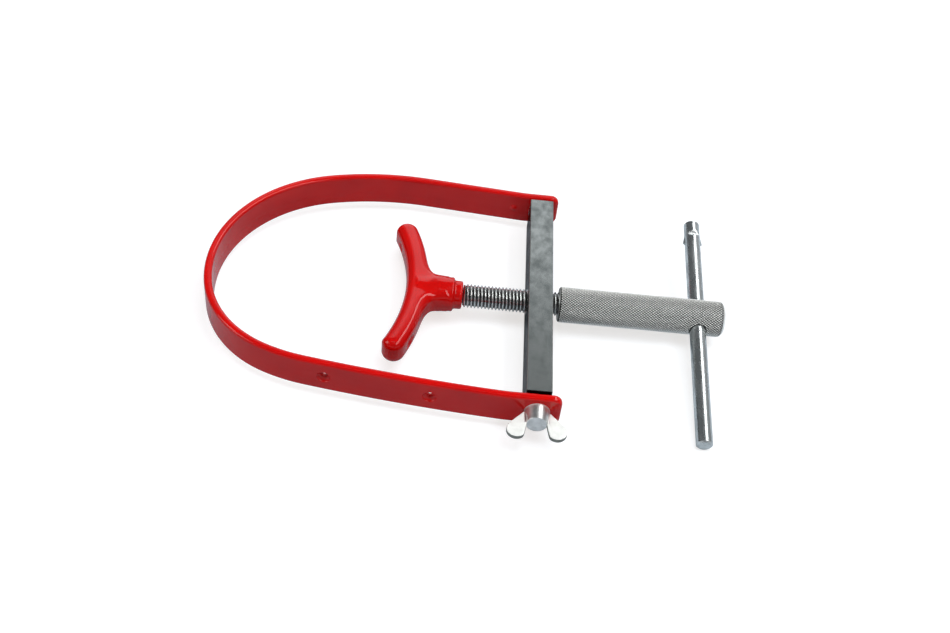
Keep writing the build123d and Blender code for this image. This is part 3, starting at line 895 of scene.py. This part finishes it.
boss_caps = claw_sum("MAXIMUM", claw_sum("SUBTRACT", cx, boss_x), boss_back)
boss = claw_sum("SMOOTH_MAX", boss_wall, boss_caps, boss_round)
collar_caps = claw_sum("MAXIMUM", claw_sum("SUBTRACT", cx, collar_x), boss_back)
collar_wall = claw_sum("SUBTRACT", axle_reach, collar_radius)
collar = claw_sum("SMOOTH_MAX", collar_wall, collar_caps, collar_round)
iron = claw_sum("SMOOTH_MIN", shoe, boss, boss_fillet)
iron = claw_sum("SMOOTH_MIN", iron, collar, collar_round)
bore_wall = claw_sum("SUBTRACT", axle_reach, nose_bore)
bore_back = claw_sum("SUBTRACT", bore_tip_x, cx)
bore = claw_sum("MAXIMUM", bore_wall, bore_back)
iron = claw_sum("MAXIMUM", iron, claw_sum("MULTIPLY", bore, -1.0))
# Painted shade: the claw's red is a darker copy of the strap's red, 0.57 against 0.61, against the brighter
# light on its top.
claw_red = red_coat("claw_red", 0.57, 0.02)
claw_mesh = cast_shape(
    "claw", claw_tree, iron, (-76.0, -47.0, -0.6), (-37.0, 47.0, 20.6), 0.45, claw_red
)
claw_piece = finished("dipped_claw", "claw", claw_mesh, claw_red, 60)
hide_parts("claw_coating")
# The hidden core takes the crossbar's finish, with its painted shade on sides and ends.
paint_node("claw_core", bar_steel())
paint_node("swivel_pins", pivot_steel)
paint_node("thrust_ball", pivot_steel)


# Spindle: M12 rod with a rolled thread and a turned nose. The thread is one V that winds round the
# core at its pitch. The nose sits in the claw, with a groove that the two cross pins run in.
def closed_tube(shape, rings, end_middles):
    """Joins rings of points to a tube, and closes each end with a fan round its middle."""
    join_rings(shape, rings)
    for ring, end_middle in zip((rings[0], rings[-1]), end_middles):
        middle = shape.verts.new(end_middle * MM)
        for k, start in enumerate(ring):
            shape.faces.new((start, ring[(k + 1) % len(ring)], middle))
    bmesh.ops.recalc_face_normals(shape, faces=shape.faces)
    return shape


def lathe(rows, place, along, across, sides=64):
    """A closed round shape: rows are (distance along the axis, radius), each in millimetres."""
    shape = bmesh.new()
    up = along.cross(across)
    rings = []
    for distance, radius in rows:
        ring = []
        for k in range(sides):
            a = 2 * pi * k / sides
            out = across * cos(a) + up * sin(a)
            ring.append(shape.verts.new((place + along * distance + out * radius) * MM))
        rings.append(ring)
    return closed_tube(shape, rings, [place + along * rows[end][0] for end in (0, -1)])


def wound_grid(tree, size, steps, travel, radius, angle):
    """A flat grid wound round the spindle's line, to a travel and radius in millimetres and an angle."""
    grid = tree.nodes.new("GeometryNodeMeshGrid")
    spot = tree.nodes.new("ShaderNodeCombineXYZ")
    for axis, length, count in zip("XY", size, steps):
        grid.inputs["Size " + axis].default_value = length
        grid.inputs["Vertices " + axis].default_value = count + 1
    tree.links.new(sum_up(tree, "MULTIPLY", travel, MM), spot.inputs[0])
    for slot_no, wave, lift in ((1, "COSINE", 0.0), (2, "SINE", axis_z)):
        leg = sum_up(tree, "MULTIPLY", radius, sum_up(tree, wave, angle))
        leg = sum_up(tree, "MULTIPLY", sum_up(tree, "ADD", leg, lift), MM)
        tree.links.new(leg, spot.inputs[slot_no])
    wind = tree.nodes.new("GeometryNodeSetPosition")
    tree.links.new(grid.outputs["Mesh"], wind.inputs["Geometry"])
    tree.links.new(spot.outputs[0], wind.inputs["Position"])
    return wind.outputs[0]


thread_pitch, thread_crest, thread_depth = 1.75, 6.0, 1.07
flat_crest, flat_root, lead_depth = 0.0625, 0.375, 1.0
thread_start, thread_end, spindle_end = -37.9, 11.5, 39.9
nose_radius, nose_tip, pin_x, groove_radius, groove_half = 4.0, -52.1, -48.3, 2.7, 1.6
steps_per_turn = 48
thread_turns = int((thread_end - thread_start) / thread_pitch) + 3
thread_tree, thread_size = new_tree(
    "thread", {"Pitch": thread_pitch, "Crest radius": thread_crest, "Depth": thread_depth}
)
thread_sum = partial(sum_up, thread_tree)
along_sheet, across_v, _ = place_parts(thread_tree)
turns_done = thread_sum("MULTIPLY", thread_sum("ADD", along_sheet, 0.5), float(thread_turns))
angle = thread_sum("MULTIPLY", turns_done, 2 * pi)
flank = banded(thread_tree, thread_sum("ABSOLUTE", across_v), flat_crest, flat_root)
thread_radius = thread_sum(
    "SUBTRACT", thread_size["Crest radius"], thread_sum("MULTIPLY", flank, thread_size["Depth"])
)
travel = thread_sum(
    "ADD",
    thread_sum("MULTIPLY", thread_sum("ADD", turns_done, across_v), thread_size["Pitch"]),
    thread_start - thread_pitch,
)
travel = thread_sum("MINIMUM", thread_sum("MAXIMUM", travel, thread_start), thread_end)
lead_in = thread_sum("ADD", thread_sum("SUBTRACT", travel, thread_start), thread_crest - lead_depth)
thread_radius = thread_sum("MINIMUM", thread_radius, lead_in)
thread_grid = wound_grid(
    thread_tree, (1.0, 1.0), (thread_turns * steps_per_turn, 8), travel, thread_radius, angle
)


def grooved_steel(name, low_radius, high_radius, valley, crest, rough, metal, plain_radius=0.0):
    """Plated steel round the spindle's line, with painted shade down in its grooves and bright on top.
    Inside plain_radius, as on an end face, it is bright again."""
    material, tree, shader = new_material(name)
    worn = placed(
        tree,
        finish,
        Patch_scale=90,
        Patch_detail=2.0,
        Stretch=(1, 1, 1),
        Dull_colour=tuple(0.93 * c for c in crest),
        Bright_colour=crest,
        Dull_roughness=rough[1],
        Bright_roughness=rough[0],
        Pit_scale=1500,
        Pit_depth=0.004 * MM,
    )
    levels = []
    for low, high in (
        (low_radius, 0.5 * low_radius + 0.5 * high_radius),
        (plain_radius, plain_radius - 0.2),
    ):
        level = placed(
            tree,
            round_axle,
            Across=(0, 1, 1),
            Axle_height=axis_z * MM,
            Low_radius=low * MM,
            High_radius=high * MM,
        )
        levels.append(level["Depth"])
    bright = sum_up(tree, "MAXIMUM", *levels)
    dressed(tree, shader, worn, mixed(tree, "RGBA", bright, valley, worn["Colour"]))
    shader.inputs["Metallic"].default_value = metal
    return material


# Painted shade: the thread's grooves are painted dark grey, 0.1 beside 0.9 on its crests, and the plain
# nose and core, inside the grooves' radius, take the same dark paint.
thread_steel = grooved_steel(
    "thread_plate",
    thread_crest - thread_depth,
    thread_crest,
    (0.1, 0.1, 0.1),
    (0.9, 0.92, 0.91),
    (0.2, 0.3),
    1.0,
)
thread_mesh = made_by_tree("thread", thread_tree, thread_grid, thread_steel)
core_radius = thread_crest - thread_depth - 0.02
core = lathe(
    [
        (nose_tip, nose_radius - 0.6),
        (nose_tip + 0.6, nose_radius),
        (pin_x - groove_half, nose_radius),
        (pin_x - groove_half, groove_radius),
        (pin_x + groove_half, groove_radius),
        (pin_x + groove_half, nose_radius),
        (thread_start, nose_radius),
        (thread_start, core_radius),
        (thread_end, core_radius),
        (thread_end, thread_crest - 0.1),
        (spindle_end - 0.8, thread_crest - 0.1),
        (spindle_end, thread_crest - 0.9),
    ],
    Vector((0, 0, axis_z)),
    Vector((1, 0, 0)),
    Vector((0, 1, 0)),
)
core.from_mesh(thread_mesh)
spindle_piece = finished("threaded_spindle", "screw", core, thread_steel, 35)
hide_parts("spindle")


# Handle: turned steel grip, diamond knurled over its whole length, chamfered, plated, and pressed on
# the spindle, with a cross hole for the sliding bar. It is only part metallic and its grooves are
# painted nearly black as painted shade, because a more metallic knurl came out of the render as a smear.
handle_front, handle_back, handle_radius, knurl_depth = 9.9, 92.5, 9.0, 0.5
front_chamfer, back_chamfer, cross_hole_radius = 0.8, 1.8, 4.5
diamonds_round, diamonds_long = 43, 50
tommy_turn = radians(7.64)
tommy_along = Vector((0, cos(tommy_turn), sin(tommy_turn)))
tommy_up = Vector((0, -sin(tommy_turn), cos(tommy_turn)))
tommy_middle = Vector((79.7, 0, axis_z))
knurl_tree, knurl_size = new_tree("knurl", {"Radius": handle_radius, "Depth": knurl_depth})
knurl_sum = partial(sum_up, knurl_tree)
along_wrap, round_wrap, _ = place_parts(knurl_tree)
column = knurl_sum("ROUND", knurl_sum("ADD", along_wrap, float(diamonds_long)))
row_no = knurl_sum("ROUND", knurl_sum("ADD", round_wrap, float(diamonds_round)))
valley = knurl_sum("MODULO", knurl_sum("ADD", column, row_no), 2.0)
grip_x = knurl_sum("MULTIPLY_ADD", column, (handle_back - handle_front) / (2 * diamonds_long), handle_front)
grip_radius = knurl_sum(
    "SUBTRACT", knurl_size["Radius"], knurl_sum("MULTIPLY", valley, knurl_size["Depth"])
)
from_front = knurl_sum("ADD", knurl_sum("SUBTRACT", grip_x, handle_front), handle_radius - front_chamfer)
from_back = knurl_sum("ADD", knurl_sum("SUBTRACT", handle_back, grip_x), handle_radius - back_chamfer)
grip_radius = knurl_sum("MINIMUM", grip_radius, knurl_sum("MINIMUM", from_front, from_back))
grip_angle = knurl_sum("MULTIPLY", row_no, pi / diamonds_round)
knurl_steps = (2 * diamonds_long, 2 * diamonds_round)
knurl_grid = wound_grid(knurl_tree, knurl_steps, knurl_steps, grip_x, grip_radius, grip_angle)
seam = knurl_tree.nodes.new("GeometryNodeMergeByDistance")
seam.inputs["Distance"].default_value = 1e-6
knurl_tree.links.new(knurl_grid, seam.inputs["Geometry"])
crossed = knurl_tree.nodes.new("GeometryNodeTriangulate")
crossed.quad_method = "SHORTEST_DIAGONAL"
knurl_tree.links.new(seam.outputs[0], crossed.inputs["Mesh"])


def cut_by(name, solid, cutter):
    """The solid's mesh with the cutter taken out of it. Both are given as bmesh shapes."""
    pair = []
    for label, shape in ((name, solid), (name + "_cutter", cutter)):
        mesh = bpy.data.meshes.new(label)
        shape.to_mesh(mesh)
        shape.free()
        pair.append(bpy.data.objects.new(label, mesh))
        scene.collection.objects.link(pair[-1])
    cut = pair[0].modifiers.new("cut", "BOOLEAN")
    cut.operation = "DIFFERENCE"
    cut.solver = "EXACT"
    cut.object = pair[1]
    view = bpy.context.evaluated_depsgraph_get()
    mesh = bpy.data.meshes.new_from_object(pair[0].evaluated_get(view))
    pair[0].modifiers.remove(cut)
    for one in pair:
        bpy.data.objects.remove(one)
    return mesh


# Painted shade: the knurl's grooves are painted nearly black, 0.004 beside 0.98 on its crests.
grip_steel = grooved_steel(
    "knurled_plate",
    handle_radius - knurl_depth + 0.05,
    handle_radius - 0.04,
    (0.004, 0.005, 0.004),
    (0.98, 0.99, 0.96),
    (0.28, 0.38),
    0.45,
    handle_radius - knurl_depth - 0.2,
)
knurl_mesh = made_by_tree("knurl", knurl_tree, crossed.outputs[0], grip_steel)
grip = bmesh.new()
grip.from_mesh(knurl_mesh)
bmesh.ops.remove_doubles(grip, verts=grip.verts, dist=1e-6)
open_rims = [e for e in grip.edges if e.is_boundary]
bmesh.ops.holes_fill(grip, edges=open_rims, sides=0)
bmesh.ops.recalc_face_normals(grip, faces=grip.faces)
hole_rows = [(-14, cross_hole_radius), (14, cross_hole_radius)]
cross_hole = lathe(hole_rows, tommy_middle, tommy_along, tommy_up, 56)
handle_piece = finished("knurled_handle", "screw", cut_by("handle", grip, cross_hole), grip_steel, 25)
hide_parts("handle")


# Sliding bar: round steel, bright zinc plated, with chamfered ends. A chisel blow near its far end
# raises an ear at each side, which keep it from falling out of the handle.
bar_near, bar_far, bar_radius, end_chamfer, bar_sides = -74.4, 60.8, 4.0, 0.7, 72
stake, ear_length, ear_rise, ear_half_turn = 47.4, 6.6, 1.1, 0.3
nick_start, nick_length, nick_depth = 50.6, 3.6, 1.5


def bar_reach_at(s, a):
    """Radius of the staked bar at a place along it, and an angle round it from its left side."""
    radius = min(bar_radius, bar_radius - end_chamfer + min(s - bar_near, bar_far - s))
    from_stake = (s - stake) / ear_length
    if 0 <= from_stake <= 1:
        off = min(abs(a), abs(a - pi), abs(a - 2 * pi)) / ear_half_turn
        if off < 1:
            radius += ear_rise * (1 - from_stake) ** 1.3 * (0.5 + 0.5 * cos(pi * off))
    from_nick = (s - nick_start) / nick_length
    up_turn = abs(a - pi / 2)
    if 0 <= from_nick <= 1 and up_turn < 1.2:
        level = bar_radius - nick_depth * (1 - abs(2 * from_nick - 1))
        radius = min(radius, level / cos(up_turn))
    return radius


places = [bar_near, bar_near + 0.35, bar_near + end_chamfer]
places += [bar_near + end_chamfer + 3.0 * k for k in range(1, 40)]
places = [s for s in places if s < stake - 0.6]
places += [stake - 0.4, stake - 0.01] + [stake + 0.35 * k for k in range(0, 10)]
places += [nick_start - 0.02] + [nick_start + 0.35 * k for k in range(0, 18)]
places += [bar_far - end_chamfer, bar_far - 0.35, bar_far]
staked = bmesh.new()
bar_rings = []
for s in places:
    ring = []
    for k in range(bar_sides):
        a = 2 * pi * k / bar_sides
        out = Vector((1, 0, 0)) * cos(a) + tommy_up * sin(a)
        ring.append(staked.verts.new((tommy_middle + tommy_along * s + out * bar_reach_at(s, a)) * MM))
    bar_rings.append(ring)
closed_tube(staked, bar_rings, [tommy_middle + tommy_along * s for s in (bar_near, bar_far)])
bar_plate = plated_steel("bar_plate", (0.78, 0.82, 0.82), (0.16, 0.36), (1, 0.35, 1))
bar_piece = finished("staked_bar", "lever", staked, bar_plate, 32)
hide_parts("tommy_bar")
